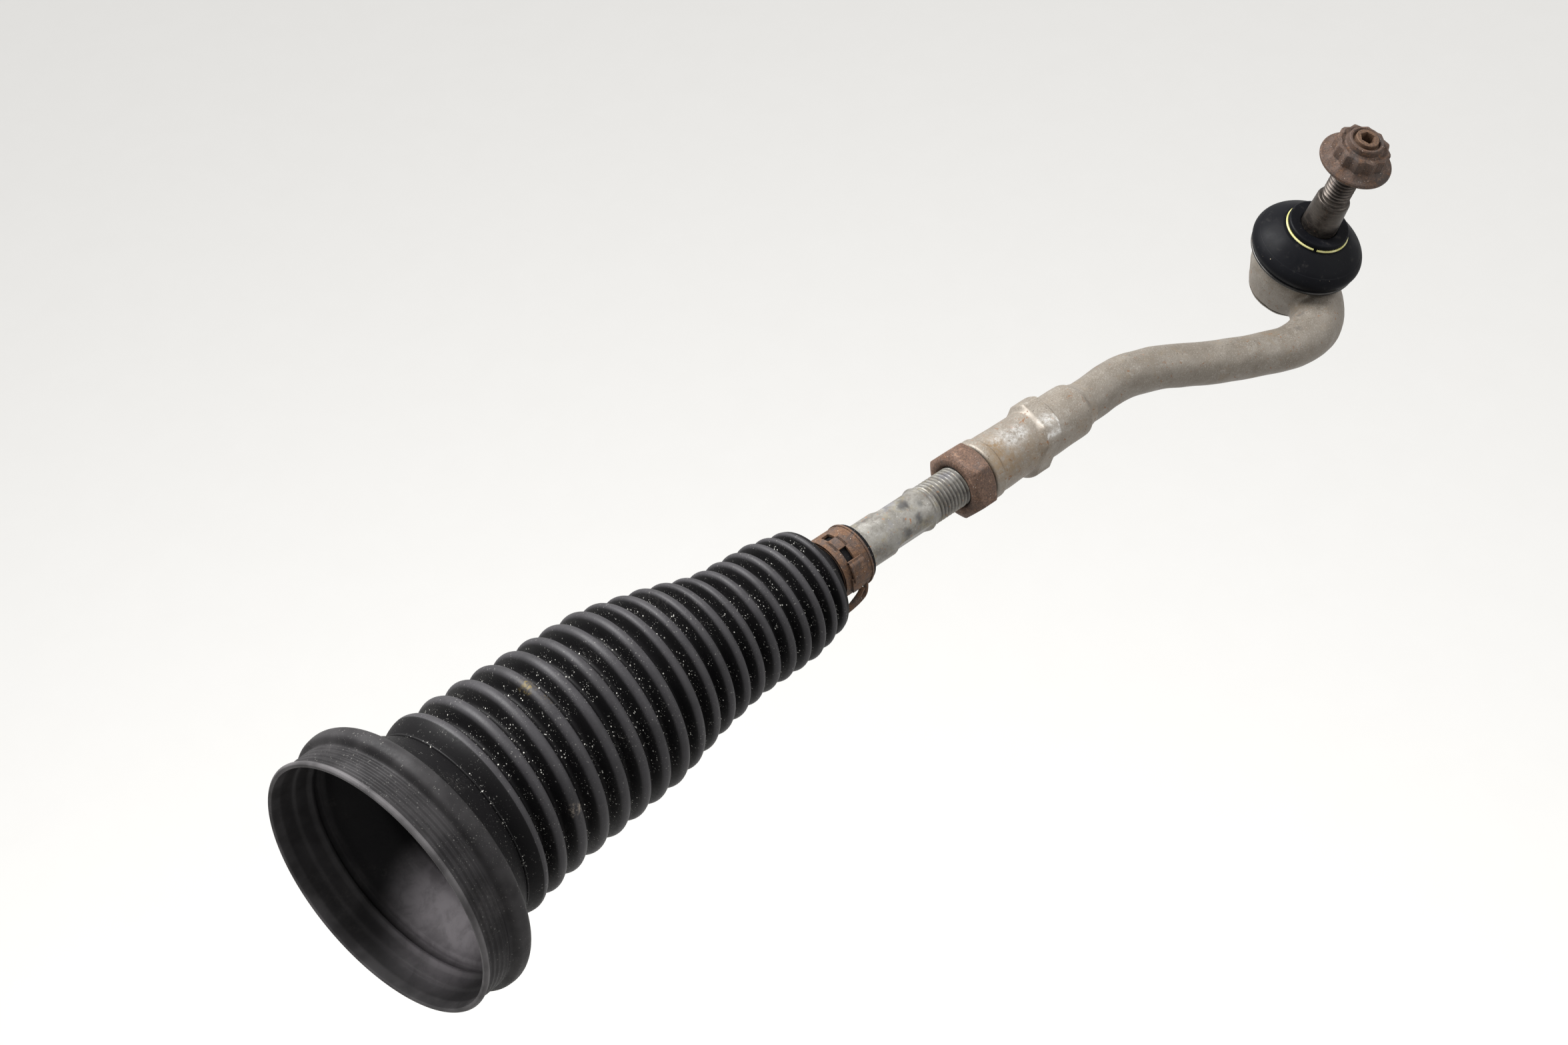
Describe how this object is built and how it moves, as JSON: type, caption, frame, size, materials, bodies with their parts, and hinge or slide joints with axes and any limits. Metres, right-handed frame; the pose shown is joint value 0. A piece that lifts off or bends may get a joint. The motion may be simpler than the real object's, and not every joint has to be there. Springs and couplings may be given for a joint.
{
  "type": "tie rod assembly",
  "caption": "Steering tie rod assembly: ball-jointed outer end on a cranked arm, jam nut, threaded inner rod with an axial ball joint, and the rack's convoluted rubber bellows.",
  "frame": {"origin": "centre of the rack stud's end face, at the inner end of the inner joint housing", "axes": "+X along the rod from the rack to the wheel, +Z along the outer ball stud towards its nut, +Y completes a right-handed frame"},
  "size_m": [0.4344, 0.0866, 0.1086],
  "materials": {
    "zinc_steel": "zinc plated, satin, scuffed",
    "inner_housing_steel": "turned, satin",
    "inner_seat_polymer": "satin",
    "inner_disc_polymer": "satin",
    "rusty_steel": "surface rust, matte",
    "phosphated_steel": "phosphated forging, matte with rust spots",
    "machined_steel": "machined, oiled",
    "seat_polymer": "satin",
    "elastomer": "matte",
    "plated_steel": "zinc plated",
    "boot_rubber": "satin",
    "yellow_polymer": "satin",
    "black_steel": "black, satin",
    "rusty_flange_steel": "surface rust, matte",
    "bellows_rubber": "satin, dusty in the valleys",
    "rusty_spring_steel": "surface rust, matte"
  },
  "bodies": {
    "rod": {"inner_rod": "zinc_steel"},
    "inner_seat": {"inner_ball_seat": "inner_seat_polymer"},
    "inner_disc": {"inner_preload_disc": "inner_disc_polymer"},
    "inner_housing": {"inner_joint_housing": "inner_housing_steel"},
    "clamp": {"bellows_clamp": "rusty_spring_steel"},
    "bellows": {"bellows": "bellows_rubber"},
    "jam_nut": {"jam_nut": "rusty_steel"},
    "tie_rod_end": {"tie_rod_end_body": "phosphated_steel", "cover_plate": "plated_steel", "seat_preload_ring": "elastomer", "boot_lower_ring": "black_steel", "dust_boot": "boot_rubber"},
    "outer_seat": {"ball_seat": "seat_polymer"},
    "boot_ring": {"boot_upper_ring": "yellow_polymer"},
    "stud": {"ball_stud": "machined_steel"},
    "flange_nut": {"flange_nut": "rusty_flange_steel"}
  },
  "joints": [
    {"name": "inner_swing_y", "type": "hinge", "parent": "rod", "child": "inner_seat", "pos_m": [0.046, 0, 0], "axis": [0, 1, 0], "range_deg": [-15, 15]},
    {"name": "inner_swing_z", "type": "hinge", "parent": "inner_seat", "child": "inner_disc", "pos_m": [0.046, 0, 0], "axis": [0, 0, 1], "range_deg": [-15, 15]},
    {"name": "inner_spin", "type": "hinge", "parent": "inner_disc", "child": "inner_housing", "pos_m": [0.046, 0, 0], "axis": [1, 0, 0], "continuous": true},
    {"name": "clamp_turn", "type": "hinge", "parent": "rod", "child": "clamp", "pos_m": [0.142, 0, 0], "axis": [1, 0, 0], "continuous": true},
    {"name": "bellows_stretch", "type": "slide", "parent": "clamp", "child": "bellows", "axis": [-1, 0, 0], "range_m": [-0.03, 0.045], "deforming": ["bellows"]},
    {"name": "toe_travel", "type": "slide", "parent": "rod", "child": "jam_nut", "axis": [1, 0, 0], "range_m": [-0.003, 0.003]},
    {"name": "toe_turn", "type": "hinge", "parent": "jam_nut", "child": "tie_rod_end", "pos_m": [0.205, 0, 0], "axis": [1, 0, 0], "range_deg": [-720, 720]},
    {"name": "outer_swing_y", "type": "hinge", "parent": "tie_rod_end", "child": "outer_seat", "pos_m": [0.3755, 0, 0], "axis": [0, 1, 0], "range_deg": [-20, 20], "deforming": ["dust_boot"]},
    {"name": "outer_swing_x", "type": "hinge", "parent": "outer_seat", "child": "boot_ring", "pos_m": [0.3755, 0, 0], "axis": [1, 0, 0], "range_deg": [-20, 20], "deforming": ["dust_boot"]},
    {"name": "stud_spin", "type": "hinge", "parent": "boot_ring", "child": "stud", "pos_m": [0.3755, 0, 0], "axis": [0, 0, 1], "continuous": true},
    {"name": "flange_nut_off", "type": "slide", "parent": "stud", "child": "flange_nut", "axis": [0, 0, 1], "range_m": [0, 0.013]}
  ],
  "couplings": [
    {"joint": "toe_travel", "follows": "toe_turn", "m_per_rad": 0.00023873}
  ]
}
